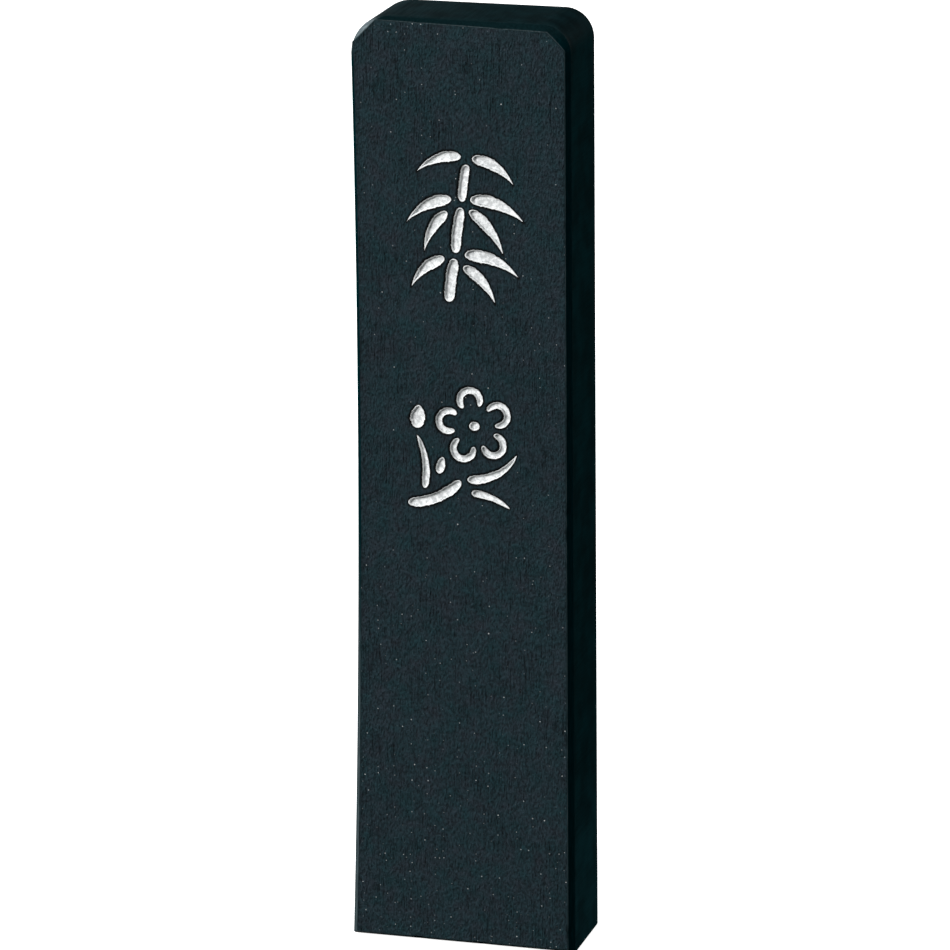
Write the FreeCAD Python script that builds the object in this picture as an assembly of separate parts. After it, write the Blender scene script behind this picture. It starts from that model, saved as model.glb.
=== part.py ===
"""Ink stick: a moulded bar of soot and glue, with engraved ornaments filled with white pigment.

The stick stands on its foot. X runs across the width, Y through the thickness with the
engraved face towards -Y, and Z up the length. The origin is at the middle of the foot.
"""
import FreeCAD, Part
import math
import os

# The bar, in millimetres
LENGTH = 90.0
THICKNESS = 9.3
FOOT_WIDTH = 22.18          # the foot flares a little
TOP_LEFT = 10.26            # from the centre line of the foot to each side at the top
TOP_RIGHT = 10.86
WAIST_HEIGHT = 56.0         # the left long side shrank inwards as the stick dried
WAIST_LEFT = 10.05          # from the centre line to the left side at the waist
BEVEL_OVER = (0.22, 0.62)   # width of the sloped band over the face, left and right end
BEVEL_LEFT = (0.57, 0.40)   # its width on the left side, at the foot and at the top
BEVEL_RIGHT = (0.55, 0.43)
BEVEL_UNDER = 0.48
BEVEL_DEPTH = 0.90
BACK_BEVEL = 0.25
FACE_CUTS = (2.15, 1.65)    # straight corner cuts of the face, left and right
TOP_RADII = (3.70, 2.75)    # rounding of the top corners behind the bevel
FOOT_CUT = 0.20             # the foot's two corners are cut straight

# The engraving
GROOVE_DEPTH = 0.60
PIGMENT_THICKNESS = 0.25
STEPS = 14                  # points along each side of a stroke
ROD, DROP = 3, 1            # fullness of a stroke: even width, or swelling in the middle

# Each stroke: name, start, end, bow to the left of its direction, half width, fullness,
# taper towards the end. Places are measured from the middle of the ornament.
BAMBOO_MIDDLE = (0.80, 70.65)
BAMBOO = (
    ("cane_1", (-1.55, -7.2), (-1.0, -3.1), 0.10, 0.60, ROD, 0.0),
    ("cane_2", (-0.9, -2.5), (-0.35, 1.8), 0.10, 0.56, ROD, 0.0),
    ("cane_3", (-0.25, 2.4), (0.2, 5.9), 0.08, 0.50, ROD, 0.0),
    ("leaf_1", (-0.35, 6.6), (-4.6, 5.0), -0.55, 0.56, DROP, 0.8),
    ("leaf_2", (0.75, 6.5), (4.7, 4.2), 0.55, 0.60, DROP, 0.8),
    ("leaf_3", (-1.3, 2.55), (-5.6, 0.2), -0.55, 0.62, DROP, 0.8),
    ("leaf_4", (-1.7, 1.3), (-3.9, -2.5), -0.45, 0.58, DROP, 0.8),
    ("leaf_5", (0.55, 2.6), (5.7, 0.7), 0.60, 0.66, DROP, 0.8),
    ("leaf_6", (0.45, 1.55), (3.7, -2.5), 0.45, 0.60, DROP, 0.8),
    ("leaf_7", (0.0, -2.7), (5.2, -4.6), 0.65, 0.66, DROP, 0.8),
    ("leaf_8", (-0.15, -3.8), (2.9, -7.2), 0.45, 0.58, DROP, 0.8),
    ("leaf_9", (-2.0, -3.1), (-5.2, -6.0), -0.50, 0.60, DROP, 0.8),
)
PLUM_MIDDLE = (0.30, 49.7)
PLUM = (
    ("branch_1", (-5.2, -5.9), (-0.1, -3.5), -0.60, 0.56, ROD, 0.0),
    ("branch_2", (0.6, -3.3), (5.4, -0.6), -0.80, 0.50, ROD, 0.5),
    ("twig_1", (-3.6, -4.4), (-4.3, 0.7), -0.45, 0.44, ROD, 0.4),
    ("twig_2", (1.0, -4.6), (4.7, -5.9), 0.30, 0.42, ROD, 0.5),
    ("bud_1", (-4.3, 1.4), (-4.1, 3.6), 0.0, 0.78, DROP, 0.15),
    ("bud_2", (-2.2, -2.9), (-1.8, -1.3), 0.0, 0.50, DROP, 0.15),
)
BLOSSOM_MIDDLE = (1.3, 1.9)
PETALS = 5
PETAL_DISTANCE = 2.5        # from the middle of the blossom to the middle of a petal
PETAL_RADIUS = 0.98         # a petal is a curled stroke, open towards the middle
PETAL_OPENING = 50.0        # degrees on each side of the opening
PETAL_HALF_WIDTH = 0.40
PETAL_TURN = 100.0          # direction of the first petal, in degrees
HEART_RADIUS = 0.50


def vector(x, z, depth):
    """A point at a depth behind the engraved face."""
    return FreeCAD.Vector(x, depth - THICKNESS / 2, z)


def ring(depth, bands, corners, rounded):
    """Closed outline of the bar at one depth.

    bands is how far it lies inside the bar's full outline: over the top, on the left side,
    on the right side and underneath. corners are the sizes of its two top corners, which
    are rounded or cut straight.
    """
    over, left, right, under = bands
    left_corner, right_corner = corners
    left_foot = -FOOT_WIDTH / 2 + left[0]
    left_waist = -WAIST_LEFT + left[0] + (left[1] - left[0]) * WAIST_HEIGHT / LENGTH
    left_top = -TOP_LEFT + left[1]
    right_foot = FOOT_WIDTH / 2 - right[0]
    right_top = TOP_RIGHT - right[1]
    high_left = LENGTH - over[0]
    high_right = LENGTH - over[1]
    short = 1 - math.sqrt(0.5)

    def point(x, z):
        return vector(x, z, depth)

    corner_left = (point(left_top, high_left - left_corner),
                   point(left_top + left_corner, high_left))
    corner_right = (point(right_top - right_corner, high_right),
                    point(right_top, high_right - right_corner))
    foot_left = (point(left_foot + FOOT_CUT, under), point(left_foot, under + FOOT_CUT))
    foot_right = (point(right_foot, under + FOOT_CUT), point(right_foot - FOOT_CUT, under))
    if rounded:
        middle_left = point(left_top + left_corner * short, high_left - left_corner * short)
        middle_right = point(right_top - right_corner * short, high_right - right_corner * short)
        top_left = Part.Arc(corner_left[0], middle_left, corner_left[1])
        top_right = Part.Arc(corner_right[0], middle_right, corner_right[1])
    else:
        top_left = Part.LineSegment(*corner_left)
        top_right = Part.LineSegment(*corner_right)
    edges = (
        Part.LineSegment(*foot_left),
        Part.Arc(foot_left[1], point(left_waist, WAIST_HEIGHT), corner_left[0]),
        top_left,
        Part.LineSegment(corner_left[1], corner_right[0]),
        top_right,
        Part.LineSegment(corner_right[1], foot_right[0]),
        Part.LineSegment(*foot_right),
        Part.LineSegment(foot_right[1], foot_left[0]),
    )
    return Part.Wire([edge.toShape() for edge in edges])


def plain_bar():
    """The bar before engraving: face, shoulder behind the bevel, and the back."""
    bevel = (BEVEL_OVER, BEVEL_LEFT, BEVEL_RIGHT, BEVEL_UNDER)
    full = ((0.0, 0.0), (0.0, 0.0), (0.0, 0.0), 0.0)
    back_pair = (BACK_BEVEL, BACK_BEVEL)
    back = (back_pair, back_pair, back_pair, BACK_BEVEL)
    rings = [
        ring(0.0, bevel, FACE_CUTS, False),
        ring(BEVEL_DEPTH, full, TOP_RADII, True),
        ring(THICKNESS - BACK_BEVEL, full, TOP_RADII, True),
        ring(THICKNESS, back, TOP_RADII, True),
    ]
    return Part.makeLoft(rings, True, True)


def spine_point(start, end, bow, t):
    """Point and direction at fraction t of the circular arc from start to end.

    bow is the height of the arc over its chord, to the left of the direction of travel.
    """
    chord_x, chord_z = end[0] - start[0], end[1] - start[1]
    chord = math.hypot(chord_x, chord_z)
    along_x, along_z = chord_x / chord, chord_z / chord
    across_x, across_z = -along_z, along_x
    if bow == 0:
        along, across, turn = t * chord, 0.0, 0.0
    else:
        half_turn = 2 * math.atan(2 * bow / chord)
        radius = chord / (2 * math.sin(half_turn))
        turn = half_turn * (2 * t - 1)
        along = chord / 2 + radius * math.sin(turn)
        across = radius * (math.cos(turn) - math.cos(half_turn))
    place = (start[0] + along * along_x + across * across_x,
             start[1] + along * along_z + across * across_z)
    heading = (math.cos(turn) * along_x - math.sin(turn) * across_x,
               math.cos(turn) * along_z - math.sin(turn) * across_z)
    return place, heading


def half_width_law(t, fullness, taper):
    """sqrt(1 - (2t - 1)^(2 fullness)) (1 - t)^taper: round ends, pointed if it tapers."""
    return math.sqrt(max(1 - (2 * t - 1) ** (2 * fullness), 0.0)) * (1 - t) ** taper


def stroke_outline(start, end, bow, half_width, fullness, taper):
    """Points round a brush stroke, from its end back to its end, closer at both ends."""
    widest = max(half_width_law(k / 200, fullness, taper) for k in range(201))
    points = []
    for k in range(2 * STEPS + 1):
        angle = math.pi * k / STEPS
        t = (1 + math.cos(angle)) / 2
        side = 1 if k <= STEPS else -1
        width = side * half_width * half_width_law(t, fullness, taper) / widest
        place, heading = spine_point(start, end, bow, t)
        points.append((place[0] - width * heading[1], place[1] + width * heading[0]))
    return points


def petal_strokes():
    """The blossom's petals: curled strokes round the blossom's middle."""
    strokes = []
    opening = math.radians(PETAL_OPENING)
    for k in range(PETALS):
        direction = math.radians(PETAL_TURN + 360 * k / PETALS)
        middle = (BLOSSOM_MIDDLE[0] + PETAL_DISTANCE * math.cos(direction),
                  BLOSSOM_MIDDLE[1] + PETAL_DISTANCE * math.sin(direction))
        ends = [(middle[0] + PETAL_RADIUS * math.cos(direction + turn),
                 middle[1] + PETAL_RADIUS * math.sin(direction + turn))
                for turn in (opening - math.pi, math.pi - opening)]
        bow = -PETAL_RADIUS * (1 + math.cos(opening))
        strokes.append((f"petal_{k + 1}", ends[0], ends[1], bow, PETAL_HALF_WIDTH, ROD, 0.0))
    return strokes


def stroke_solid(stroke, middle, front, back):
    """The stroke's outline as a solid between two depths behind the face."""
    points = [vector(middle[0] + x, middle[1] + z, front) for x, z in stroke_outline(*stroke[1:])]
    points[-1] = points[0]
    curve = Part.BSplineCurve()
    curve.interpolate(Points=points)
    face = Part.Face(Part.Wire([curve.toShape()]))
    return face.extrude(FreeCAD.Vector(0, back - front, 0))


def heart_solid(front, back):
    """The round dot in the middle of the blossom."""
    middle = vector(PLUM_MIDDLE[0] + BLOSSOM_MIDDLE[0], PLUM_MIDDLE[1] + BLOSSOM_MIDDLE[1], front)
    return Part.makeCylinder(HEART_RADIUS, back - front, middle, FreeCAD.Vector(0, 1, 0))


def engraving(front, back):
    """Every engraved patch between two depths behind the face, by name."""
    solids = {}
    for stroke in BAMBOO:
        solids["bamboo_" + stroke[0]] = stroke_solid(stroke, BAMBOO_MIDDLE, front, back)
    for stroke in list(PLUM) + petal_strokes():
        solids["plum_" + stroke[0]] = stroke_solid(stroke, PLUM_MIDDLE, front, back)
    solids["plum_heart"] = heart_solid(front, back)
    return solids


def main():
    os.makedirs("parts", exist_ok=True)
    above_face = -1.0
    cutters = list(engraving(above_face, GROOVE_DEPTH).values())
    bar = plain_bar().cut(Part.Compound(cutters)).Solids[0]
    bar.exportStep("parts/ink_bar.step")
    print("ink_bar", bar.isValid(), round(bar.Volume, 1), "mm3")
    for name, solid in engraving(GROOVE_DEPTH - PIGMENT_THICKNESS, GROOVE_DEPTH).items():
        solid.exportStep(f"parts/pigment_{name}.step")
        print("pigment_" + name, solid.isValid(), round(solid.Volume, 3), "mm3")


main()
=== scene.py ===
import math

import bmesh
import bpy
import numpy as np
from mathutils import Matrix, Vector


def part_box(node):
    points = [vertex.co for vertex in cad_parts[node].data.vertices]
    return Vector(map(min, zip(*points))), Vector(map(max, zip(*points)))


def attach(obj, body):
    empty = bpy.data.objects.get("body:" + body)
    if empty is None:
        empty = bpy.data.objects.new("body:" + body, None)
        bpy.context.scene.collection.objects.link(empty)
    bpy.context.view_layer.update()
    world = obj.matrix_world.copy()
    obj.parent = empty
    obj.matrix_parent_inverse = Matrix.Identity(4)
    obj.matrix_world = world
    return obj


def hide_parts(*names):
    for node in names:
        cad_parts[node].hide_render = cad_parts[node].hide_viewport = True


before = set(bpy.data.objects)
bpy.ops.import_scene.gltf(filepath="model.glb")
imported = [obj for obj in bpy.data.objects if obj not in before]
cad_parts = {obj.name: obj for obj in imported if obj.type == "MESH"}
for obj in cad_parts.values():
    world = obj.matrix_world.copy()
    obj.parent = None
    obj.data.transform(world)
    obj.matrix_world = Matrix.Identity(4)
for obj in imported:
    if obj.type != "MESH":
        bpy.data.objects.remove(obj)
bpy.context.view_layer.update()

bl_info = {
    "name": "Ink Stick",
    "version": (1, 0, 0),
    "blender": (4, 5, 0),
    "location": "3D View > Sidebar > Ink Stick",
    "description": "Builds a moulded ink stick with pigment-filled engraving, and a small studio",
    "category": "Add Mesh",
}

BAR_LOW, BAR_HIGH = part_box("ink_bar")
MM = 0.001                       # metres in a millimetre; shapes are worked out in millimetres

# ------------------------------------------------------------ the bar's own sizes, in millimetres
LENGTH = (BAR_HIGH[2] - BAR_LOW[2]) / MM
THICKNESS = (BAR_HIGH[1] - BAR_LOW[1]) / MM
FOOT_WIDTH = (BAR_HIGH[0] - BAR_LOW[0]) / MM
FRONT = BAR_LOW[1] / MM
TOP_LEFT = 10.26
TOP_RIGHT = 10.86
WAIST_HEIGHT = 56.0
WAIST_LEFT = 10.05
BEVEL_OVER = (0.22, 0.62)        # width of the bevel over the face, left and right end
BEVEL_LEFT = (0.57, 0.40)        # on the left side, at the foot and at the top
BEVEL_RIGHT = (0.55, 0.43)
BEVEL_UNDER = 0.48               # under the face, along the foot
BEVEL_DEPTH = 0.90               # how far behind the face the bevel ends
BACK_BEVEL = 0.25
FACE_CUTS = (2.15, 1.65)         # straight corner cuts of the face, left and right
TOP_RADII = (3.70, 2.75)         # rounding of the top corners behind the bevel
FOOT_RADIUS = 0.16               # rounding of the two foot corners
GROOVE_DEPTH = 0.60

# ------------------------------------------------------------ the engraved strokes, in millimetres
# Each stroke: name, start, end, bow, half width, fullness and taper, from the ornament's middle.
ROD, DROP = 3, 1
BAMBOO_MIDDLE = (0.80, 70.65)
BAMBOO = (
    ("cane_1", (-1.55, -7.2), (-1.0, -3.1), 0.10, 0.60, ROD, 0.0),
    ("cane_2", (-0.9, -2.5), (-0.35, 1.8), 0.10, 0.56, ROD, 0.0),
    ("cane_3", (-0.25, 2.4), (0.2, 5.9), 0.08, 0.50, ROD, 0.0),
    ("leaf_1", (-0.35, 6.6), (-4.6, 5.0), -0.55, 0.56, DROP, 0.8),
    ("leaf_2", (0.75, 6.5), (4.7, 4.2), 0.55, 0.60, DROP, 0.8),
    ("leaf_3", (-1.3, 2.55), (-5.6, 0.2), -0.55, 0.62, DROP, 0.8),
    ("leaf_4", (-1.7, 1.3), (-3.9, -2.5), -0.45, 0.58, DROP, 0.8),
    ("leaf_5", (0.55, 2.6), (5.7, 0.7), 0.60, 0.66, DROP, 0.8),
    ("leaf_6", (0.45, 1.55), (3.7, -2.5), 0.45, 0.60, DROP, 0.8),
    ("leaf_7", (0.0, -2.7), (5.2, -4.6), 0.65, 0.66, DROP, 0.8),
    ("leaf_8", (-0.15, -3.8), (2.9, -7.2), 0.45, 0.58, DROP, 0.8),
    ("leaf_9", (-2.0, -3.1), (-5.2, -6.0), -0.50, 0.60, DROP, 0.8),
)
PLUM_MIDDLE = (0.30, 49.7)
PLUM = (
    ("branch_1", (-5.2, -5.9), (-0.1, -3.5), -0.60, 0.56, ROD, 0.0),
    ("branch_2", (0.6, -3.3), (5.4, -0.6), -0.80, 0.50, ROD, 0.5),
    ("twig_1", (-3.6, -4.4), (-4.3, 0.7), -0.45, 0.44, ROD, 0.4),
    ("twig_2", (1.0, -4.6), (4.7, -5.9), 0.30, 0.42, ROD, 0.5),
    ("bud_1", (-4.3, 1.4), (-4.1, 3.6), 0.0, 0.78, DROP, 0.15),
    ("bud_2", (-2.2, -2.9), (-1.8, -1.3), 0.0, 0.50, DROP, 0.15),
)
BLOSSOM_MIDDLE = (1.3, 1.9)
PETALS = 5
PETAL_DISTANCE = 2.5
PETAL_RADIUS = 0.98
PETAL_OPENING = 50.0
PETAL_HALF_WIDTH = 0.40
PETAL_TURN = 100.0
HEART_RADIUS = 0.50

# ------------------------------------------------------------ the face grid, in millimetres
FINE_CELL = 0.10                 # over the ornaments
COARSE_CELL = 0.42               # elsewhere
FINE_COLUMNS = (-5.3, 6.9)       # from, to, across the width
FINE_ROWS = ((42.9, 55.9), (63.1, 78.3))
FOOT_STEPS, CORNER_STEPS = 5, 13 # points round a foot corner and a top corner

# ------------------------------------------------------------ painted highlight and a lighter top, as shares of a grey
LINE_HIGHLIGHT = 0.20                 # painted highlight: a narrow line along the edge of the face
FOOT_HIGHLIGHT = 0.22                 # painted highlight on the left bevel, towards the foot
CORNER_HIGHLIGHT = 0.80               # painted highlight at the upper left corner
TOP_GREY = 0.022                 # lighter grey on top, on the left
# How much painted highlight, line and bevel, each ring of points has, outwards from the face.
RING_HIGHLIGHT = ((1, 1.0, 0.6), (2, 0.0, 1.0), (3, 0.0, 0.9), (4, 0.1, 0.5))
TOP_GREY_RINGS = slice(6, 13)        # the rings of points on the sides and the top
BEVEL_RINGS, SIDE_RINGS = 4, 10  # strips of the surface with the bevel and side materials

# ------------------------------------------------------------ dust specks: cell, radius, share
SPECKS = ((1.5, 0.06, 0.75), (0.8, 0.045, 0.40))

# ------------------------------------------------------------ the studio, in metres and watts
SOFTBOXES = (
    ("key_softbox", (-0.55, -0.75, 0.55), 0.5, 15.0),
    ("side_softbox", (0.8, 0.45, 0.45), 0.6, 5.5),
    ("back_softbox", (-0.8, 0.6, 0.12), 0.5, 11.0),
)
FLOOR_GLOW = 0.85
FLOOR_REACH = 3000.0             # half the width of the paper, in millimetres
AIM_RIGHT, AIM_ABOVE = 0.293, 0.497   # aim off the stick's middle, in millimetres


def smoothstep(x):
    """3x^2 - 2x^3, held at 0 and 1 outside that range."""
    x = np.clip(x, 0.0, 1.0)
    return x * x * (3.0 - 2.0 * x)


def linear(hex_colour):
    """An sRGB colour written in hex, as linear RGBA."""
    parts = np.array([int(hex_colour[k:k + 2], 16) for k in (1, 3, 5)]) / 255.0
    parts = np.where(parts <= 0.04045, parts / 12.92, ((parts + 0.055) / 1.055) ** 2.4)
    return (*(float(part) for part in parts), 1.0)


# ================================================================ strokes
def petal_strokes():
    """The blossom's petals: curled strokes spaced evenly round the blossom's middle."""
    strokes = []
    opening = math.radians(PETAL_OPENING)
    for k in range(PETALS):
        direction = math.radians(PETAL_TURN + 360 * k / PETALS)
        middle = (BLOSSOM_MIDDLE[0] + PETAL_DISTANCE * math.cos(direction),
                  BLOSSOM_MIDDLE[1] + PETAL_DISTANCE * math.sin(direction))
        ends = [(middle[0] + PETAL_RADIUS * math.cos(direction + turn),
                 middle[1] + PETAL_RADIUS * math.sin(direction + turn))
                for turn in (opening - math.pi, math.pi - opening)]
        bow = -PETAL_RADIUS * (1 + math.cos(opening))
        strokes.append((f"petal_{k + 1}", ends[0], ends[1], bow, PETAL_HALF_WIDTH, ROD, 0.0))
    return strokes


def all_strokes():
    """Every stroke as (node name, middle of its ornament, stroke values)."""
    heart = ("heart", (BLOSSOM_MIDDLE[0] - HEART_RADIUS, BLOSSOM_MIDDLE[1]),
             (BLOSSOM_MIDDLE[0] + HEART_RADIUS, BLOSSOM_MIDDLE[1]), 0.0, HEART_RADIUS, DROP, 0.0)
    strokes = [("pigment_bamboo_" + stroke[0], BAMBOO_MIDDLE, stroke[1:]) for stroke in BAMBOO]
    for stroke in [*PLUM, *petal_strokes(), heart]:
        strokes.append(("pigment_plum_" + stroke[0], PLUM_MIDDLE, stroke[1:]))
    return strokes


def spine(start, end, bow, t):
    """Points and unit directions at fractions t of the circular arc from start to end.

    The arc turns evenly, through four times atan(2 bow / chord), so its direction is the
    chord's direction turned by an angle that is linear in t.
    """
    start, end = np.array(start), np.array(end)
    chord = np.hypot(*(end - start))
    along = (end - start) / chord
    across = np.array([-along[1], along[0]])
    if bow == 0:
        return start + np.outer(t * chord, along), np.tile(along, (len(t), 1))
    half_turn = 2 * math.atan(2 * bow / chord)
    radius = chord / (2 * math.sin(half_turn))
    turn = half_turn * (2 * t - 1)
    forward = chord / 2 + radius * np.sin(turn)
    sideways = radius * (np.cos(turn) - math.cos(half_turn))
    heading = np.outer(np.cos(turn), along) - np.outer(np.sin(turn), across)
    return start + np.outer(forward, along) + np.outer(sideways, across), heading


def half_width(t, widest, fullness, taper, wobble, number, side):
    """widest times sqrt(1 - (2t - 1)^(2 fullness)) (1 - t)^taper, scaled to peak at 1.

    The cutter's hand adds a wobble: five waves along each side of the stroke, out of step by
    the stroke's number and its side.
    """
    def law(t):
        return np.sqrt(np.maximum(1 - (2 * t - 1) ** (2 * fullness), 0)) * (1 - t) ** taper
    waves = sum(share * np.sin(2 * np.pi * cycles * t + number * phase + side)
                for cycles, phase, share in ((1.7, 2.1, 0.3), (3.1, 4.7, 0.3), (5.3, 1.3, 0.3),
                                             (9.7, 3.3, 0.3), (14.3, 5.1, 0.3)))
    return widest * law(t) / law(np.linspace(0, 1, 201)).max() * (1 + wobble * waves)


def stroke_surface(number, middle, stroke, t, s, wobble):
    """Points at (t, s): t runs along the stroke's arc, s from side to side in -1..1."""
    start, end, bow, widest, fullness, taper = stroke
    place, heading = spine(start, end, bow, t)
    side = np.stack([-heading[:, 1], heading[:, 0]], axis=1)
    width = half_width(t, widest, fullness, taper, wobble, number, np.sign(s))
    return np.array(middle) + place + (s * width)[:, None] * side


def stroke_outline(number, middle, stroke, wobble, steps=100):
    """Closed outline: t goes as (1 + cos a) / 2, and s is 1 on one side and -1 on the other."""
    angle = np.pi * np.arange(2 * steps) / steps
    side = np.where(np.arange(2 * steps) <= steps, 1.0, -1.0)
    return stroke_surface(number, middle, stroke, (1 + np.cos(angle)) / 2, side, wobble)


def inside_distance(points, outline):
    """Distance from each point to a closed outline, positive inside it.

    The distance to a segment is the distance to the nearest point on it, and a point is
    inside when the outline's edges cross its level an odd number of times to its right.
    """
    a, b = outline, np.roll(outline, -1, axis=0)
    edge = b - a
    length2 = np.maximum((edge ** 2).sum(1), 1e-12)
    to_point = points[:, None, :] - a[None, :, :]
    fraction = np.clip((to_point * edge).sum(2) / length2, 0, 1)
    nearest = to_point - fraction[..., None] * edge
    distance = np.sqrt((nearest ** 2).sum(2).min(1))
    z = points[:, 1, None]
    spans = (a[:, 1] > z) != (b[:, 1] > z)
    safe = np.where(np.abs(edge[:, 1]) < 1e-12, 1e-12, edge[:, 1])
    crossing = a[:, 0] + (z - a[:, 1]) / safe * edge[:, 0]
    inside = (spans & (points[:, 0, None] < crossing)).sum(1) % 2 == 1
    return np.where(inside, distance, -distance)


def waves(x, z, seed, count, length_x, length_z):
    """Smooth unevenness in -1..1: a sum of plane waves with seeded directions and phases."""
    random = np.random.default_rng(seed)
    total = np.zeros(np.broadcast(x, z).shape)
    for _ in range(count):
        stretch = random.uniform(0.6, 1.8)
        phase = random.uniform(0, 2 * np.pi)
        lean = random.uniform(-1, 1)
        total += np.sin(2 * np.pi * stretch * (lean * x / length_x + z / length_z) + phase)
        total += np.sin(2 * np.pi * stretch * (x / length_x - lean * z / length_z) + 2 * phase)
    return total / (2 * count)


# ================================================================ the bar's surface
def spaced(low, high, cell):
    """Levels from low to high, evenly spaced by about one cell, without the last one."""
    return np.linspace(low, high, max(2, round((high - low) / cell)) + 1)[:-1]


class FaceGrid:
    """Rows and columns of the face: fine over the ornaments, coarser elsewhere."""

    def __init__(self):
        first = BEVEL_UNDER + FOOT_RADIUS
        last = LENGTH - BEVEL_OVER[0] - FACE_CUTS[0]
        levels, low = [], first
        for fine_low, fine_high in FINE_ROWS:
            levels += [spaced(low, fine_low, COARSE_CELL), spaced(fine_low, fine_high, FINE_CELL)]
            low = fine_high
        levels.append(spaced(low, last, COARSE_CELL))
        levels = np.concatenate([*levels, [last]])
        self.side = (levels - first) / (last - first)
        self.foot_turn = np.linspace(0, 1, FOOT_STEPS)
        self.corner_turn = np.linspace(0, 1, CORNER_STEPS)
        margin = TOP_LEFT + FINE_COLUMNS[0]
        self.margin_steps = round(margin / COARSE_CELL)
        self.fine_steps = round((FINE_COLUMNS[1] - FINE_COLUMNS[0]) / FINE_CELL)

    def columns(self, left, right):
        """x of each column on rows that reach from left to right; the fine ones never move."""
        low, high = FINE_COLUMNS
        margin = np.linspace(0, 1, self.margin_steps + 1)
        first = left[:, None] + (low - left)[:, None] * margin
        last = high + (right - high)[:, None] * margin
        fine = np.tile(np.linspace(low, high, self.fine_steps + 1), (len(left), 1))
        return np.concatenate([first[:, :-1], fine, last[:, 1:]], axis=1)


def wider(bands, extra):
    """The same bands, each wider by a fixed amount."""
    return [np.asarray(band) + extra for band in bands]


def sides(grid, bands, corners, straight):
    """Left and right edge points (x, z) of one outline of the bar, from the foot up.

    A foot corner is a quarter circle. The left side is the parabola through foot, waist and
    top, and the right side is straight. A top corner is a straight cut or a quarter circle.
    """
    over, left, right, under = bands
    low = under + FOOT_RADIUS
    turn = grid.foot_turn * np.pi / 2
    foot_in, foot_up = FOOT_RADIUS * (1 - np.sin(turn)), FOOT_RADIUS * (1 - np.cos(turn))
    swing = grid.corner_turn[1:]
    inwards, upwards = swing, swing
    if not straight:
        inwards, upwards = 1 - np.cos(swing * np.pi / 2), np.sin(swing * np.pi / 2)
    waist = np.interp(WAIST_HEIGHT, [0, LENGTH], left) - WAIST_LEFT
    edges = []
    for outwards, corner, top, foot_x, top_x in (
            (-1, corners[0], LENGTH - over[0], left[0] - FOOT_WIDTH / 2, left[1] - TOP_LEFT),
            (1, corners[1], LENGTH - over[1], FOOT_WIDTH / 2 - right[0], TOP_RIGHT - right[1])):
        high = top - corner
        level = low + grid.side[1:] * (high - low)
        line = np.interp(level, [low, high], [foot_x, top_x])
        if outwards < 0:
            parabola = np.polyfit([low, WAIST_HEIGHT, high], [foot_x, waist, top_x], 2)
            line = np.poly1d(parabola)(level)
        x = (foot_x - outwards * foot_in, line, top_x - outwards * corner * inwards)
        z = (under + foot_up, level, high + corner * upwards)
        edges += [np.concatenate(x), np.concatenate(z)]
    return edges


def heights_between(left, left_z, right, right_z, x):
    """Heights along each row, on the straight line from its left end to its right end."""
    share = (x - left[:, None]) / (right - left)[:, None]
    return left_z[:, None] + (right_z - left_z)[:, None] * share


def outline_loop(grid, bands, corners, straight, depth):
    """One outline as a closed loop of points: up the left side, over the top, down, and back."""
    left, left_z, right, right_z = sides(grid, bands, corners, straight)
    ends = [edge[[0, -1]] for edge in (left, left_z, right, right_z)]
    across = grid.columns(ends[0], ends[2])
    level = heights_between(*ends, across)
    x = np.concatenate([left, across[1, 1:-1], right[::-1], across[0, -2:0:-1]])
    z = np.concatenate([left_z, level[1, 1:-1], right_z[::-1], level[0, -2:0:-1]])
    return np.stack([x, np.full_like(x, FRONT + depth), z], axis=1)


def rounded(before, corner, after, radius, steps):
    """Points round a corner: the quadratic curve that touches both legs at the radius."""
    def leg(end):
        reach = end - corner
        length = np.linalg.norm(reach, axis=1, keepdims=True)
        return corner + reach * np.minimum(radius / length, 0.45)
    first, last = leg(before), leg(after)
    return [(1 - f) ** 2 * first + 2 * f * (1 - f) * corner + f ** 2 * last
            for f in np.linspace(0, 1, steps)]


def groove_depth(distance):
    """Depth of a groove at a distance inside its outline: a sloping wall with a soft rim."""
    rim, wall = 0.05, 0.25
    return GROOVE_DEPTH * smoothstep((distance + rim) / wall)


def face_relief(x, z, settings):
    """Depth of the engraved face, and how near each point lies to a groove's rim.

    The depth is slow unevenness from drying, and the grooves. Nearness to a rim is the bell
    shape exp(-(d / w)^2) of the distance d from the rim.
    """
    unevenness = settings.unevenness / MM
    depth = unevenness * (0.6 * waves(x, z, 3, 5, 14.0, 30.0) + 0.4 * waves(x, z, 4, 6, 3.0, 9.0))
    edge_room = np.minimum(FOOT_WIDTH / 2 - np.abs(x), np.minimum(z, LENGTH - z))
    depth = depth * smoothstep(edge_room / 2.0)
    rim = np.zeros_like(depth)
    reach, rim_shade_width = 0.4, 0.15
    for number, (_, middle, stroke) in enumerate(all_strokes()):
        outline = stroke_outline(number, middle, stroke, settings.wobble)
        low, high = outline.min(0) - reach, outline.max(0) + reach
        near = (x > low[0]) & (x < high[0]) & (z > low[1]) & (z < high[1])
        distance = inside_distance(np.stack([x[near], z[near]], axis=1), outline)
        depth[near] = np.maximum(depth[near], groove_depth(distance))
        # Nearness to the rim is later drawn as painted shade: a dark line round each groove.
        bell = np.exp(-(distance / rim_shade_width) ** 2)
        rim[near] = np.maximum(rim[near], bell)
    return depth, rim


def quads_of_grid(rows, columns):
    """Corner indices of every cell of a grid of points, in rows."""
    index = np.arange(rows * columns).reshape(rows, columns)
    cells = (index[:-1, :-1], index[:-1, 1:], index[1:, 1:], index[1:, :-1])
    return np.stack([corner.ravel() for corner in cells], axis=1)


def strip_between(ring, next_ring):
    """Quads between two closed rings of point indices."""
    return np.stack([ring, np.roll(ring, -1), np.roll(next_ring, -1), next_ring], axis=1)


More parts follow.
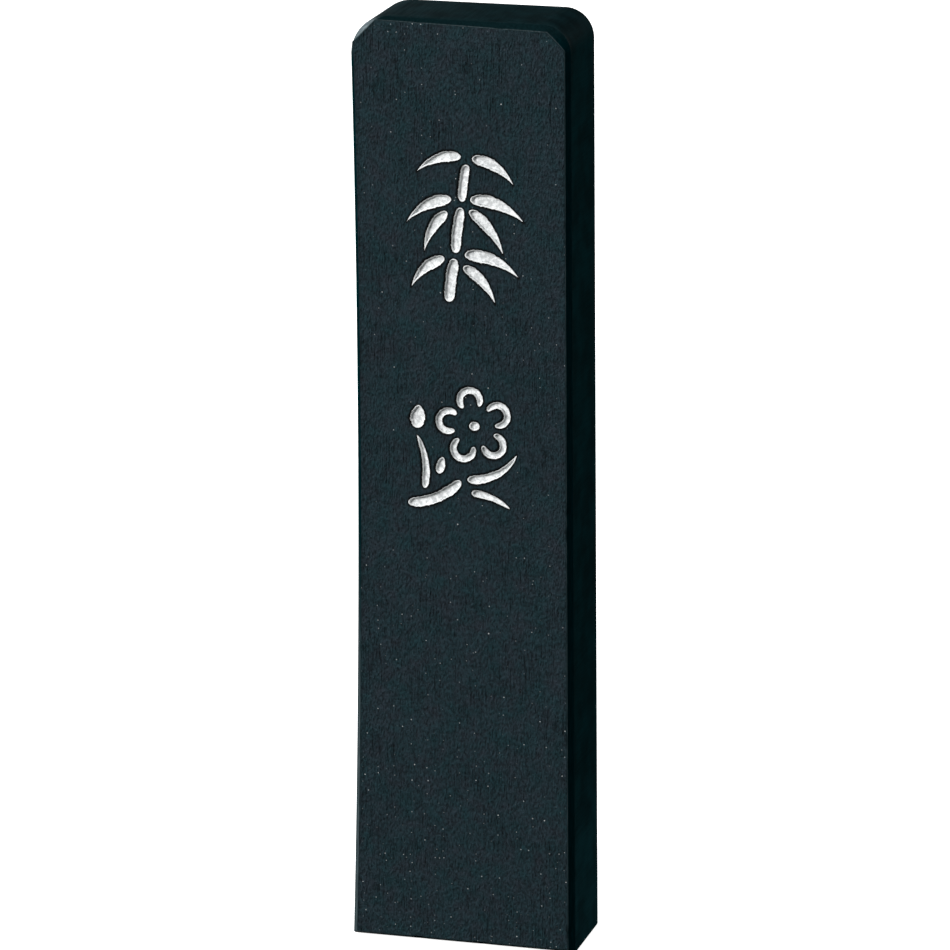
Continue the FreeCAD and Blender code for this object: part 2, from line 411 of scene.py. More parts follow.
def make_mesh(name, points, quads, materials, slots=None, values=None):
    """A smooth-shaded mesh object from points in millimetres and quads, as whole arrays."""
    mesh = bpy.data.meshes.new(name)
    mesh.vertices.add(len(points))
    mesh.vertices.foreach_set("co", (points * MM).astype(np.float32).ravel())
    mesh.loops.add(quads.size)
    mesh.loops.foreach_set("vertex_index", quads.astype(np.int32).ravel())
    mesh.polygons.add(len(quads))
    mesh.polygons.foreach_set("loop_start", np.arange(0, quads.size, 4, dtype=np.int32))
    if slots is not None:
        mesh.polygons.foreach_set("material_index", slots.astype(np.int32))
    mesh.update(calc_edges=True)
    for title, value in (values or {}).items():
        mesh.attributes.new(title, "FLOAT", "POINT").data.foreach_set(
            "value", value.astype(np.float32))
    mesh.validate()
    mesh.shade_smooth()
    for material in materials:
        mesh.materials.append(material)
    piece = bpy.data.objects.new(name, mesh)
    bpy.context.scene.collection.objects.link(piece)
    return piece


def close_seams(piece, gap):
    """Joins points that lie together at seams and poles, and turns the faces outwards."""
    work = bmesh.new()
    work.from_mesh(piece.data)
    bmesh.ops.remove_doubles(work, verts=work.verts, dist=gap)
    bmesh.ops.dissolve_degenerate(work, edges=work.edges, dist=gap)
    bmesh.ops.recalc_face_normals(work, faces=work.faces)
    work.to_mesh(piece.data)
    work.free()


def nicks(loop, settings):
    """How far the face's edge is chipped at each point of a loop: a few seeded bell shapes."""
    random = np.random.default_rng(11)
    chip = np.zeros(len(loop))
    for _ in range(settings.nicks):
        centre = loop[random.integers(len(loop))]
        size = random.uniform(0.25, 0.6)
        deep = random.uniform(0.4, 1.0) * settings.nick_depth / MM
        reach = np.linalg.norm(loop - centre, axis=1)
        chip = np.maximum(chip, deep * np.exp(-(reach / size) ** 2))
    return chip


def edge_highlights(x, z):
    """How much painted highlight the face's edge has at each point: a narrow line, and a band on
    the bevel.

    The line follows the whole edge except the upper part of the left side. The painted highlight
    on the left bevel grows towards the foot, and is strongest at the upper left corner.
    """
    left = smoothstep((-x - 8.0) / 1.0)
    line = LINE_HIGHLIGHT * (1 - left * smoothstep((z - 20.0) / 15.0))
    near_foot = FOOT_HIGHLIGHT * left * smoothstep((44.0 - z) / 26.0)
    corner = CORNER_HIGHLIGHT * smoothstep((z - 86.2) / 3.0) * smoothstep((-x - 7.9) / 0.5)
    return line, np.maximum(near_foot, corner)


def bar_surface(settings):
    """The whole closed surface of the bar: points, quads, material slots and attributes.

    The face is a grid of heights. From its border, rings of points run over the bevel, the
    sides and the back's edge, and then shrink onto the back's centre line.
    """
    grid = FaceGrid()
    edge = settings.edge_radius / MM
    bands = (BEVEL_OVER, BEVEL_LEFT, BEVEL_RIGHT, BEVEL_UNDER)
    full = ((0, 0), (0, 0), (0, 0), 0)
    left, left_z, right, right_z = sides(grid, wider(bands, edge), FACE_CUTS, True)
    x = grid.columns(left, right)
    rows, columns = x.shape
    height = heights_between(left, left_z, right, right_z, x)
    depth, rim = face_relief(x, height, settings)
    face_points = np.stack([x, FRONT + depth, height], axis=2).reshape(-1, 3)
    index = np.arange(rows * columns).reshape(rows, columns)
    border = np.concatenate([index[:, 0], index[-1, 1:-1], index[::-1, -1], index[0, -2:0:-1]])

    face = outline_loop(grid, bands, FACE_CUTS, True, 0.0)
    shoulder = outline_loop(grid, full, TOP_RADII, False, BEVEL_DEPTH)
    back_edge = outline_loop(grid, full, TOP_RADII, False, THICKNESS - BACK_BEVEL)
    back = outline_loop(grid, wider(full, BACK_BEVEL), TOP_RADII, False, THICKNESS)
    chip = nicks(face, settings)[:, None]
    inwards = face_points[border] - face
    face = face + chip * inwards / np.linalg.norm(inwards, axis=1, keepdims=True)
    face[:, 1] += chip[:, 0]

    spine_low, spine_high = FOOT_WIDTH / 2, LENGTH - FOOT_WIDTH / 2
    centre_line = back.copy()
    centre_line[:, 0] = 0.0
    centre_line[:, 2] = np.clip(back[:, 2], spine_low, spine_high)
    rings = rounded(face_points[border], face, shoulder, edge, 3)[1:]
    rings += rounded(face, shoulder, back_edge, 2.5 * edge, 4)
    rings += [shoulder + (back_edge - shoulder) * f for f in (0.2, 0.4, 0.6, 0.8)]
    rings += rounded(shoulder, back_edge, back, 1.5 * edge, 3)
    rings += rounded(back_edge, back, centre_line, 1.5 * edge, 3)
    rings += [back + (centre_line - back) * f for f in (0.1, 0.3, 0.6, 1.0)]

    count = len(border)
    points = np.concatenate([face_points, *rings])
    numbers = [border] + [len(face_points) + k * count + np.arange(count)
                          for k in range(len(rings))]
    strips = [strip_between(a, b) for a, b in zip(numbers, numbers[1:])]
    quads = np.concatenate([quads_of_grid(rows, columns), *strips])
    slots = np.concatenate([
        np.zeros((rows - 1) * (columns - 1)),
        np.ones(BEVEL_RINGS * count),
        np.full(SIDE_RINGS * count, 2),
        np.zeros((len(strips) - BEVEL_RINGS - SIDE_RINGS) * count),
    ])
    # The left edge of the face is darker too, over about 0.4 mm.
    edge_share, edge_width = 0.32, 0.4
    left_edge_dark = edge_share * np.exp(-((x - left[:, None]) / edge_width) ** 2)
    # The rim attribute carries painted shade round the grooves, and the darker left edge.
    rim_shade_and_edge_dark = np.zeros(len(points))
    rim_shade_and_edge_dark[:rows * columns] = np.maximum(rim, left_edge_dark).ravel()
    # Painted highlight on the face's edge and the bevels, and a lighter grey on the top.
    highlight_and_top_grey = np.zeros(len(points))
    line, bevel_highlight = edge_highlights(face[:, 0], face[:, 2])
    for ring, lines, bevel_highlights in RING_HIGHLIGHT:
        highlight_and_top_grey[numbers[ring]] = lines * line + bevel_highlights * bevel_highlight
    # Towards the left of the top, the same grey is mixed in a little.
    for ring in numbers[TOP_GREY_RINGS]:
        leftward = smoothstep((3.0 - points[ring, 0]) / 8.0)
        highlight_and_top_grey[ring] = TOP_GREY * leftward * smoothstep((points[ring, 2] - LENGTH + 1.0) / 0.8)
    return points, quads, slots, {"highlight_and_top_grey": highlight_and_top_grey, "rim": rim_shade_and_edge_dark}


# ================================================================ the pigment's surface
def pigment_surface(number, middle, stroke, wobble, coat):
    """A brushed coat over one groove: a closed skin between its top and its underside.

    On a grid (t, s), the top lies at the rim's level at the outline and falls down the wall
    to the groove's floor by distance from the outline. The underside is the top, pushed in.
    """
    along, across = 110, 21
    t = (1 - np.cos(np.pi * np.linspace(0, 1, along))) / 2
    s = np.sin(np.pi / 2 * np.linspace(-1, 1, across))
    t_grid, s_grid = (axis.ravel() for axis in np.meshgrid(t, s, indexing="ij"))
    gap, wall, lip, thickness = 0.09, 0.11, 0.04, 0.10
    crease_shade_at, crease_shade_width = 0.88, 0.12
    outline = stroke_outline(number, middle, stroke, wobble)
    start, end, bow, widest, fullness, taper = stroke
    slimmer = (start, end, bow, widest - gap, fullness, taper)
    flat = stroke_surface(number, middle, slimmer, t_grid, s_grid, wobble)
    distance = np.maximum(inside_distance(flat, outline), 0)
    floor = GROOVE_DEPTH - coat
    fall = smoothstep((distance - gap) / wall)
    rough = 0.012 * waves(flat[:, 0], flat[:, 1], 20 + number, 6, 0.5, 0.6)
    depth = lip + (floor - lip) * fall + rough
    top = np.stack([flat[:, 0], FRONT + depth, flat[:, 1]], axis=1)
    under = top + np.array([0.0, thickness, 0.0])
    # A band along the crease where the wall meets the floor, which the material greys as painted
    # shade.
    crease_shade_share = np.exp(-((fall - crease_shade_at) / crease_shade_width) ** 2)
    points = np.concatenate([top, under])
    cells = quads_of_grid(along, across)
    index = np.arange(along * across).reshape(along, across)
    rim = np.concatenate([index[:, 0], index[-1, 1:-1], index[::-1, -1], index[0, -2:0:-1]])
    below = rim + len(top)
    quads = np.concatenate([cells, cells[:, ::-1] + len(top), strip_between(rim, below)])
    return points, quads, np.concatenate([crease_shade_share, crease_shade_share])


# ================================================================ materials
def add(tree, kind, settings=None, inputs=None):
    """Adds one node with its settings, and gives its inputs values or links."""
    node = tree.nodes.new(kind)
    for key, value in (settings or {}).items():
        setattr(node, key, value)
    for key, value in (inputs or {}).items():
        if isinstance(value, bpy.types.NodeSocket):
            tree.links.new(value, node.inputs[key])
        else:
            node.inputs[key].default_value = value
    return node


def new_material(name):
    """An empty material with its node tree, its shader and its output."""
    material = bpy.data.materials.new(name)
    material.use_nodes = True
    tree = material.node_tree
    tree.nodes.clear()
    shader = add(tree, "ShaderNodeBsdfPrincipled")
    add(tree, "ShaderNodeOutputMaterial", inputs={"Surface": shader.outputs["BSDF"]})
    return material, tree, shader


def per_metre(millimetres):
    """How many times a pattern of this size repeats in a metre."""
    return 1.0 / (millimetres * MM)


def face_material(cool, mauve, highlight_grey):
    """Soot bound with animal glue, pressed in a wooden mould: a dense, pimpled blue-black."""
    material, tree, shader = new_material("moulded_soot_ink")
    place = add(tree, "ShaderNodeTexCoord").outputs["Object"]
    # The dried skin is pimpled: bumps 0.17 mm wide, drawn out to 0.3 mm along the stick.
    skin = add(tree, "ShaderNodeMapping", {"vector_type": "POINT"},
               {"Vector": place, "Scale": (per_metre(0.17), per_metre(0.17), per_metre(0.3))})
    pimples = add(tree, "ShaderNodeTexNoise", {"noise_dimensions": "3D"},
                  {"Vector": skin.outputs[0], "Scale": 1.0, "Detail": 3.0, "Roughness": 0.6})
    # Its hue drifts between blue-green and mauve in patches about 2.2 mm across.
    patches = add(tree, "ShaderNodeTexNoise", {"noise_dimensions": "3D"},
                  {"Vector": place, "Scale": per_metre(2.2), "Detail": 5.0, "Roughness": 0.7})
    drift = add(tree, "ShaderNodeMapRange", {"clamp": True},
                {"Value": patches.outputs["Fac"], "From Min": 0.36, "From Max": 0.66})
    hue = add(tree, "ShaderNodeMix", {"data_type": "RGBA"},
              {0: drift.outputs[0], 6: cool, 7: mauve})
    # Wiping left dark scratches 0.15 mm wide and 3 mm long, in groups 5 mm across.
    wiped = add(tree, "ShaderNodeMapping", {"vector_type": "POINT"},
                {"Vector": place, "Scale": (per_metre(0.15), per_metre(0.15), per_metre(3.0))})
    lines = add(tree, "ShaderNodeTexNoise", {"noise_dimensions": "3D"},
                {"Vector": wiped.outputs[0], "Scale": 1.0, "Detail": 2.0, "Roughness": 0.6})
    groups = add(tree, "ShaderNodeTexNoise", {"noise_dimensions": "3D"},
                 {"Vector": place, "Scale": per_metre(5.0), "Detail": 2.0, "Roughness": 0.5})
    line = add(tree, "ShaderNodeMapRange", {"clamp": True},
               {"Value": lines.outputs["Fac"], "From Min": 0.54, "From Max": 0.66})
    group = add(tree, "ShaderNodeMapRange", {"clamp": True},
                {"Value": groups.outputs["Fac"], "From Min": 0.42, "From Max": 0.6,
                 "To Min": 0.0, "To Max": 0.3})
    scratch = add(tree, "ShaderNodeMath", {"operation": "MULTIPLY"},
                  {0: line.outputs[0], 1: group.outputs[0]})
    tone = add(tree, "ShaderNodeMapRange", {"clamp": True},
               {"Value": pimples.outputs["Fac"], "From Min": 0.3, "From Max": 0.7,
                "To Min": 0.46, "To Max": 1.6})
    shade = add(tree, "ShaderNodeMath", {"operation": "SUBTRACT"},
                {0: tone.outputs[0], 1: scratch.outputs[0]})
    # Painted shade: a dark line round every groove, and a darker left edge, from the rim
    # attribute.
    rim = add(tree, "ShaderNodeAttribute", {"attribute_name": "rim"})
    rim_shade_factor = add(tree, "ShaderNodeMapRange", {"clamp": True},
                  {"Value": rim.outputs["Fac"], "From Min": 0.1, "From Max": 0.9,
                   "To Min": 1.0, "To Max": 0.05})
    tone_with_rim_shade = add(tree, "ShaderNodeMath", {"operation": "MULTIPLY"},
                    {0: shade.outputs[0], 1: rim_shade_factor.outputs[0]})
    colour = add(tree, "ShaderNodeVectorMath", {"operation": "SCALE"},
                 {0: hue.outputs[2], "Scale": tone_with_rim_shade.outputs[0]}).outputs[0]
    for cell, radius, share in SPECKS:
        colour = speckled(tree, place, colour, cell, radius, share)
    relief = add(tree, "ShaderNodeMath", {"operation": "SUBTRACT"},
                 {0: pimples.outputs["Fac"], 1: scratch.outputs[0]})
    bump = add(tree, "ShaderNodeBump", {},
               {"Height": relief.outputs[0], "Strength": 1.0, "Distance": 0.28 * MM})
    tree.links.new(highlighted(tree, colour, highlight_grey, pimples), shader.inputs["Base Color"])
    tree.links.new(bump.outputs[0], shader.inputs["Normal"])
    shader.inputs["Roughness"].default_value = 0.72
    shader.inputs["Specular IOR Level"].default_value = 0.12
    return material


def highlighted(tree, colour, highlight_grey, grain):
    """A colour mixed towards grey by the point attribute: painted highlight, and a lighter top."""
    highlight_and_top_grey = add(tree, "ShaderNodeAttribute", {"attribute_name": "highlight_and_top_grey"})
    uneven = add(tree, "ShaderNodeMapRange", {"clamp": True},
                 {"Value": grain.outputs["Fac"], "From Min": 0.35, "From Max": 0.65,
                  "To Min": 0.6, "To Max": 1.3})
    amount = add(tree, "ShaderNodeMath", {"operation": "MULTIPLY", "use_clamp": True},
                 {0: highlight_and_top_grey.outputs["Fac"], 1: uneven.outputs[0]})
    return add(tree, "ShaderNodeMix", {"data_type": "RGBA"},
               {0: amount.outputs[0], 6: colour, 7: highlight_grey}).outputs[2]


def bevel_material(dark, upper, highlight_grey):
    """The bevel, scraped with a blade along the stick: tight and darker than the face."""
    material, tree, shader = new_material("scraped_soot_ink")
    place = add(tree, "ShaderNodeTexCoord").outputs["Object"]
    # The blade left chatter 0.2 mm wide and 1.5 mm long.
    along = add(tree, "ShaderNodeMapping", {"vector_type": "POINT"},
                {"Vector": place, "Scale": (per_metre(0.2), per_metre(0.2), per_metre(1.5))})
    chatter = add(tree, "ShaderNodeTexNoise", {"noise_dimensions": "3D"},
                  {"Vector": along.outputs[0], "Scale": 1.0, "Detail": 3.0, "Roughness": 0.6})
    tone = add(tree, "ShaderNodeMapRange", {"clamp": True},
               {"Value": chatter.outputs["Fac"], "From Min": 0.3, "From Max": 0.7,
                "To Min": 0.7, "To Max": 1.3})
    height = add(tree, "ShaderNodeSeparateXYZ", {}, {0: place}).outputs[2]
    high = add(tree, "ShaderNodeMapRange", {"clamp": True, "interpolation_type": "SMOOTHSTEP"},
               {"Value": height, "From Min": (LENGTH - 1.8) * MM,
                "From Max": (LENGTH - 0.6) * MM})
    whole = add(tree, "ShaderNodeMix", {"data_type": "RGBA"},
                {0: high.outputs[0], 6: dark, 7: upper})
    colour = add(tree, "ShaderNodeVectorMath", {"operation": "SCALE"},
                 {0: whole.outputs[2], "Scale": tone.outputs[0]}).outputs[0]
    bump = add(tree, "ShaderNodeBump", {},
               {"Height": chatter.outputs["Fac"], "Strength": 1.0, "Distance": 0.01 * MM})
    # Painted highlight on the bevel, mixed in by the point attribute.
    tree.links.new(highlighted(tree, colour, highlight_grey, chatter), shader.inputs["Base Color"])
    tree.links.new(bump.outputs[0], shader.inputs["Normal"])
    shader.inputs["Roughness"].default_value = 0.6
    shader.inputs["Specular IOR Level"].default_value = 0.0
    return material


def side_material(foot, middle, top, highlight_grey):
    """The sides, smoothed with a damp cloth from front to back; lighter at the foot, greyer on
    top.
    """
    material, tree, shader = new_material("smoothed_soot_ink")
    place = add(tree, "ShaderNodeTexCoord").outputs["Object"]
    # The cloth left streaks 0.3 mm wide and 5 mm long across the thickness.
    through = add(tree, "ShaderNodeMapping", {"vector_type": "POINT"},
                  {"Vector": place, "Scale": (per_metre(0.3), per_metre(5.0), per_metre(0.3))})
    streaks = add(tree, "ShaderNodeTexNoise", {"noise_dimensions": "3D"},
                  {"Vector": through.outputs[0], "Scale": 1.0, "Detail": 4.0, "Roughness": 0.65})
    # Handling greyed it in clouds about 3 mm across.
    clouds = add(tree, "ShaderNodeTexNoise", {"noise_dimensions": "3D"},
                 {"Vector": place, "Scale": per_metre(3.0), "Detail": 3.0, "Roughness": 0.6})
    height = add(tree, "ShaderNodeSeparateXYZ", {}, {0: place}).outputs[2]
    low = add(tree, "ShaderNodeMapRange", {"clamp": True, "interpolation_type": "SMOOTHSTEP"},
              {"Value": height, "From Min": 22 * MM, "From Max": 4 * MM})
    high = add(tree, "ShaderNodeMapRange", {"clamp": True, "interpolation_type": "SMOOTHSTEP"},
               {"Value": height, "From Min": (LENGTH - 3.0) * MM,
                "From Max": (LENGTH - 0.5) * MM})
    lower = add(tree, "ShaderNodeMix", {"data_type": "RGBA"},
                {0: low.outputs[0], 6: middle, 7: foot})
    whole = add(tree, "ShaderNodeMix", {"data_type": "RGBA"},
                {0: high.outputs[0], 6: lower.outputs[2], 7: top})
    cloud = add(tree, "ShaderNodeMapRange", {"clamp": True},
                {"Value": clouds.outputs["Fac"], "From Min": 0.38, "From Max": 0.64,
                 "To Min": 0.75, "To Max": 1.35})
    streak = add(tree, "ShaderNodeMapRange", {"clamp": True},
                 {"Value": streaks.outputs["Fac"], "From Min": 0.35, "From Max": 0.68,
                  "To Min": 0.92, "To Max": 1.14})
    tone = add(tree, "ShaderNodeMath", {"operation": "MULTIPLY"},
               {0: cloud.outputs[0], 1: streak.outputs[0]})
    colour = add(tree, "ShaderNodeVectorMath", {"operation": "SCALE"},
                 {0: whole.outputs[2], "Scale": tone.outputs[0]}).outputs[0]
    gloss = add(tree, "ShaderNodeMapRange", {"clamp": True},
                {"Value": streaks.outputs["Fac"], "From Min": 0.3, "From Max": 0.7,
                 "To Min": 0.56, "To Max": 0.44})
    bump = add(tree, "ShaderNodeBump", {},
               {"Height": streaks.outputs["Fac"], "Strength": 1.0, "Distance": 0.01 * MM})
    # Painted highlight near the bevel and a lighter top, mixed in by the point attribute.
    tree.links.new(highlighted(tree, colour, highlight_grey, streaks), shader.inputs["Base Color"])
    tree.links.new(gloss.outputs[0], shader.inputs["Roughness"])
    tree.links.new(bump.outputs[0], shader.inputs["Normal"])
    shader.inputs["Specular IOR Level"].default_value = 0.015
    return material


def speckled(tree, place, colour, cell, radius, share):
    """Pale dust specks on the face: at most one in a cell, and up to this share of the cells.

    The cell and the speck's radius are in millimetres. There are more specks near the foot.
    """
    axes = add(tree, "ShaderNodeSeparateXYZ", {}, {0: place})
    flat = add(tree, "ShaderNodeCombineXYZ", {}, {0: axes.outputs[0], 1: axes.outputs[2]})
    cells = add(tree, "ShaderNodeTexVoronoi", {"feature": "F1", "voronoi_dimensions": "2D"},
                {"Vector": flat.outputs[0], "Scale": per_metre(cell), "Randomness": 1.0})
    chance = add(tree, "ShaderNodeSeparateXYZ", {}, {0: cells.outputs["Color"]})
    dot = add(tree, "ShaderNodeMapRange", {"clamp": True},
              {"Value": cells.outputs["Distance"], "From Min": 0.5 * radius / cell,
               "From Max": 1.3 * radius / cell, "To Min": 1.0, "To Max": 0.0})
    limit = add(tree, "ShaderNodeMapRange", {"clamp": True},
                {"Value": axes.outputs[2], "From Min": 0.0, "From Max": 40 * MM,
                 "To Min": 1 - share, "To Max": 1 - share / 4})
    chosen = add(tree, "ShaderNodeMath", {"operation": "GREATER_THAN"},
                 {0: chance.outputs[0], 1: limit.outputs[0]})
    strength = add(tree, "ShaderNodeMath", {"operation": "MULTIPLY"},
                   {0: dot.outputs[0], 1: chosen.outputs[0]})
    fade = add(tree, "ShaderNodeMath", {"operation": "POWER"}, {0: chance.outputs[1], 1: 3.0})
    faded = add(tree, "ShaderNodeMath", {"operation": "MULTIPLY"},
                {0: strength.outputs[0], 1: fade.outputs[0]})
    return add(tree, "ShaderNodeMix", {"data_type": "RGBA"},
               {0: faded.outputs[0], 6: colour, 7: linear("#C9CFD0")}).outputs[2]


def pigment_material(white, crease_shade_colour):
    """Shell white brushed wet into the grooves: chalky, dead matt, painted shade in its creases.
    """
    material, tree, shader = new_material("brushed_shell_white")
    place = add(tree, "ShaderNodeTexCoord").outputs["Object"]
    streaks = add(tree, "ShaderNodeTexNoise", {"noise_dimensions": "3D"},
                  {"Vector": place, "Scale": per_metre(0.35), "Detail": 3.0, "Roughness": 0.65})
    powder = add(tree, "ShaderNodeTexNoise", {"noise_dimensions": "3D"},
                 {"Vector": place, "Scale": per_metre(0.12), "Detail": 2.0, "Roughness": 0.6})
    # Painted shade: grey streaks along each groove's crease, by the wall attribute.
    wall = add(tree, "ShaderNodeAttribute", {"attribute_name": "wall"}).outputs["Fac"]
    streaked = add(tree, "ShaderNodeMapRange", {"clamp": True},
               {"Value": streaks.outputs["Fac"], "From Min": 0.42, "From Max": 0.58})
    crease_shade = add(tree, "ShaderNodeMath", {"operation": "MULTIPLY"},
                {0: wall, 1: streaked.outputs[0]})
    colour = add(tree, "ShaderNodeMix", {"data_type": "RGBA"},
                 {0: crease_shade.outputs[0], 6: white, 7: crease_shade_colour})
    bump = add(tree, "ShaderNodeBump", {},
               {"Height": powder.outputs["Fac"], "Strength": 1.0, "Distance": 0.02 * MM})
    tree.links.new(colour.outputs[2], shader.inputs["Base Color"])
    tree.links.new(bump.outputs[0], shader.inputs["Normal"])
    shader.inputs["Roughness"].default_value = 0.92
    shader.inputs["Specular IOR Level"].default_value = 0.2
    return material


def seen_or_not(tree, seen, unseen):
    """What the camera sees of the studio, and the dark room that the stick itself sees."""
    path = add(tree, "ShaderNodeLightPath")
    return add(tree, "ShaderNodeMixShader", {},
               {0: path.outputs["Is Camera Ray"], 1: unseen.outputs[0], 2: seen.outputs[0]})


def floor_material(colour, dark, glow):
    """Seamless studio paper, lit from below as on a light table, with black flags round it."""
    material, tree, shader = new_material("studio_paper")
    shader.inputs["Base Color"].default_value = colour
    shader.inputs["Roughness"].default_value = 0.9
    shader.inputs["Specular IOR Level"].default_value = 0.1
    shader.inputs["Emission Color"].default_value = colour
    shader.inputs["Emission Strength"].default_value = glow
    flag = add(tree, "ShaderNodeBsdfDiffuse", {}, {"Color": dark})
    mixed = seen_or_not(tree, shader, flag)
    tree.links.new(mixed.outputs[0], tree.nodes["Material Output"].inputs["Surface"])
    return material


def room_world(dark):
    """A white room as the camera sees it, and a dark one as the stick sees it."""
    world = bpy.data.worlds.new("studio_room")
    world.use_nodes = True
    tree = world.node_tree
    tree.nodes.clear()
    seen = add(tree, "ShaderNodeBackground", {}, {"Color": (1, 1, 1, 1), "Strength": 1.0})
    unseen = add(tree, "ShaderNodeBackground", {}, {"Color": dark, "Strength": 1.0})
    mixed = seen_or_not(tree, seen, unseen)
    add(tree, "ShaderNodeOutputWorld", {}, {"Surface": mixed.outputs[0]})
    return world


# ================================================================ settings a user would change
class InkStickBarSettings(bpy.types.PropertyGroup):
    """Sizes and colours of the moulded bar."""
    edge_radius: bpy.props.FloatProperty(
        name="Edge radius", description="Rounding of the edge between face and bevel",
        default=0.09 * MM, unit="LENGTH")
    unevenness: bpy.props.FloatProperty(
        name="Unevenness", description="How far the face waves in and out after drying",
        default=0.02 * MM, unit="LENGTH")
    wobble: bpy.props.FloatProperty(
        name="Cutting wobble", description="Share by which a stroke's width wanders",
        default=0.09, subtype="FACTOR")
    nicks: bpy.props.IntProperty(
        name="Nicks", description="How many small chips the face's edge has", default=16)
    nick_depth: bpy.props.FloatProperty(
        name="Nick depth", description="Depth of the deepest chip", default=0.10 * MM,
        unit="LENGTH")
    face_cool: bpy.props.FloatVectorProperty(
        name="Face, blue-green", description="Cooler colour of the moulded face",
        default=linear("#1A3035"), size=4, subtype="COLOR")
    face_mauve: bpy.props.FloatVectorProperty(
        name="Face, mauve", description="Warmer colour of the moulded face",
        default=linear("#252E35"), size=4, subtype="COLOR")
    # Lighter colour of the sides towards the foot.
    foot_colour: bpy.props.FloatVectorProperty(
        name="Sides at the foot", description="Colour of the sides where a hand holds them",
        default=linear("#0A2529"), size=4, subtype="COLOR")
    side_colour: bpy.props.FloatVectorProperty(
        name="Sides", description="Colour of the smoothed sides",
        default=linear("#021B1E"), size=4, subtype="COLOR")
    # Greyer colour of the top, also used at the bevel's upper end.
    top_colour: bpy.props.FloatVectorProperty(
        name="Top", description="Colour of the top, greyed by dust",
        default=linear("#0B1D20"), size=4, subtype="COLOR")
    bevel_colour: bpy.props.FloatVectorProperty(
        name="Bevel", description="Colour of the scraped bevel",
        default=linear("#001A1E"), size=4, subtype="COLOR")
    # Grey of the painted highlight on the edge and bevels, also used for the lighter top.
    highlight_colour: bpy.props.FloatVectorProperty(
        name="Worn edge", description="Colour of the rubbed edges",
        default=linear("#79858A"), size=4, subtype="COLOR")


class InkStickPigmentSettings(bpy.types.PropertyGroup):
    """Sizes and colours of the pigment in the grooves."""
    coat: bpy.props.FloatProperty(
        name="Coat", description="Thickness of the pigment on a groove's floor",
        default=0.28 * MM, unit="LENGTH")
    white: bpy.props.FloatVectorProperty(
        name="White", description="Colour of the pigment where it is thick",
        default=linear("#F1F3F3"), size=4, subtype="COLOR")
    # Grey of the painted shade along the crease of each groove.
    crease_shade_colour: bpy.props.FloatVectorProperty(
        name="Stained white", description="Colour of the pigment where ink shows through",
        default=linear("#565E61"), size=4, subtype="COLOR")


class InkStickStageSettings(bpy.types.PropertyGroup):
    """The studio: camera, floor and lights."""
    azimuth: bpy.props.FloatProperty(
        name="Camera azimuth", description="Turn of the camera to the right of the face",
        default=math.radians(16.0), subtype="ANGLE")
    elevation: bpy.props.FloatProperty(
        name="Camera elevation", description="Height of the camera as an angle",
        default=math.radians(15.74), subtype="ANGLE")
    roll: bpy.props.FloatProperty(
        name="Camera roll", description="Turn of the camera about its own line of sight",
        default=math.radians(-0.394), subtype="ANGLE")
    distance: bpy.props.FloatProperty(
        name="Camera distance", description="From the camera to the middle of the stick",
        default=0.56, unit="LENGTH")
    lens: bpy.props.FloatProperty(
        name="Lens", description="Focal length on a 36 mm sensor", default=224.8,
        unit="CAMERA")
    floor_colour: bpy.props.FloatVectorProperty(
        name="Floor", description="Colour of the studio paper", default=linear("#F8F8F8"),
        size=4, subtype="COLOR")
    flag_colour: bpy.props.FloatVectorProperty(
        name="Flags", description="Colour of the black flags that the stick reflects",
        default=linear("#1C1C1C"), size=4, subtype="COLOR")
    room_colour: bpy.props.FloatVectorProperty(
        name="Room", description="Colour of the room that the stick reflects",
        default=linear("#3A3E40"), size=4, subtype="COLOR")


# ================================================================ operators
class INKSTICK_OT_bar(bpy.types.Operator):
    """Build the moulded bar with its grooves, bevel, sides and back"""
    bl_idname = "inkstick.bar"
    bl_label = "Build the Bar"

    def execute(self, context):
        settings = context.scene.inkstick_bar
        highlight_grey = settings.highlight_colour[:]
        materials = (
            face_material(settings.face_cool[:], settings.face_mauve[:], highlight_grey),
            bevel_material(settings.bevel_colour[:], settings.top_colour[:], highlight_grey),
            side_material(settings.foot_colour[:], settings.side_colour[:],
                          settings.top_colour[:], highlight_grey),
        )
        points, quads, slots, attributes = bar_surface(settings)
        bar = make_mesh("ink_body", points, quads, materials, slots, attributes)
        close_seams(bar, 1e-7)
        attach(bar, "root")
        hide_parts("ink_bar")
        return {"FINISHED"}


class INKSTICK_OT_pigment(bpy.types.Operator):
    """Build the white pigment coat of every engraved stroke"""
    bl_idname = "inkstick.pigment"
    bl_label = "Build the Pigment"

    def execute(self, context):
        settings = context.scene.inkstick_pigment
        wobble, coat_depth = context.scene.inkstick_bar.wobble, settings.coat / MM
        material = pigment_material(settings.white[:], settings.crease_shade_colour[:])
        for number, (node, middle, stroke) in enumerate(all_strokes()):
            # The wall value marks the crease of each groove, where the material paints shade.
            points, quads, wall = pigment_surface(number, middle, stroke, wobble, coat_depth)
            coat = make_mesh(node.replace("pigment", "coat"), points, quads, [material],
                             values={"wall": wall})
            close_seams(coat, 1e-6)
            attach(coat, "root")
            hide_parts(node)
        return {"FINISHED"}


def point_at(obj, place, target, roll=0.0):
    """Places an object with its -Z axis towards the target, turned by roll about that axis."""
    turn = (target - place).to_track_quat("-Z", "Y").to_matrix().to_4x4()
    obj.matrix_world = Matrix.Translation(place) @ turn @ Matrix.Rotation(roll, 4, "Z")


def add_light(name, place, size, power, target):
    """A square white softbox at a place, facing a target."""
    lamp = bpy.data.lights.new(name, "AREA")
    lamp.size = size
    lamp.energy = power
    obj = bpy.data.objects.new(name, lamp)
    bpy.context.scene.collection.objects.link(obj)
    point_at(obj, Vector(place), target)


